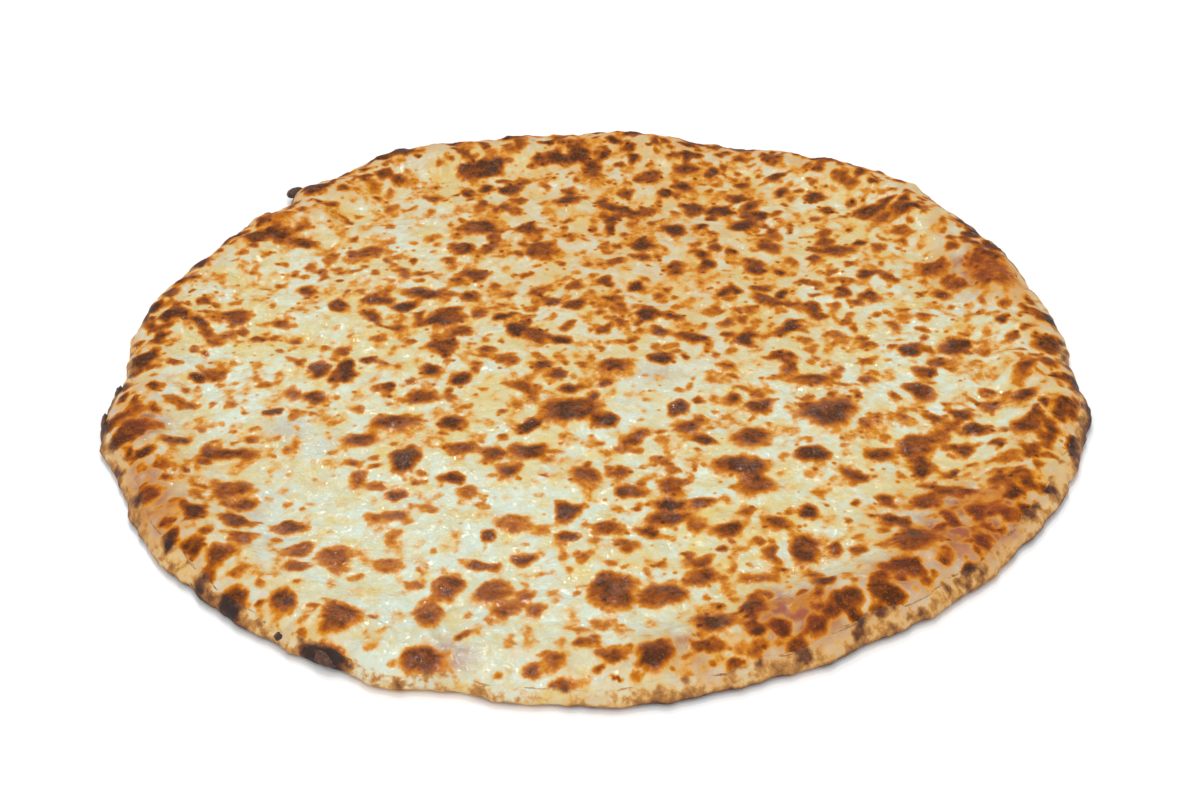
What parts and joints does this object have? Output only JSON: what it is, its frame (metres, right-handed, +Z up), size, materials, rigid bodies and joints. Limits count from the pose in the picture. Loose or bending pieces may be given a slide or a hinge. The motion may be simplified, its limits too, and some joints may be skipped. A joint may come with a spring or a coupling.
{
  "type": "cheese pizza",
  "caption": "Whole round thin-crust cheese pizza with a low uneven rim, melted cheese browned in blisters, and sauce showing at the edge of the cheese.",
  "frame": {"origin": "on the table under the middle of the pizza", "axes": "+Z up through the pizza; -Y towards the side that is nearest in the picture, +X to its right"},
  "size_m": [0.4518, 0.4572, 0.0157],
  "materials": {
    "crust": "baked dough, matt, toasted in patches",
    "sauce": "cooked tomato sauce, moist",
    "cheese": "melted cheese, oily, browned in blisters"
  },
  "bodies": {
    "root": {"crust": "crust", "sauce": "sauce", "cheese": "cheese"}
  },
  "joints": []
}
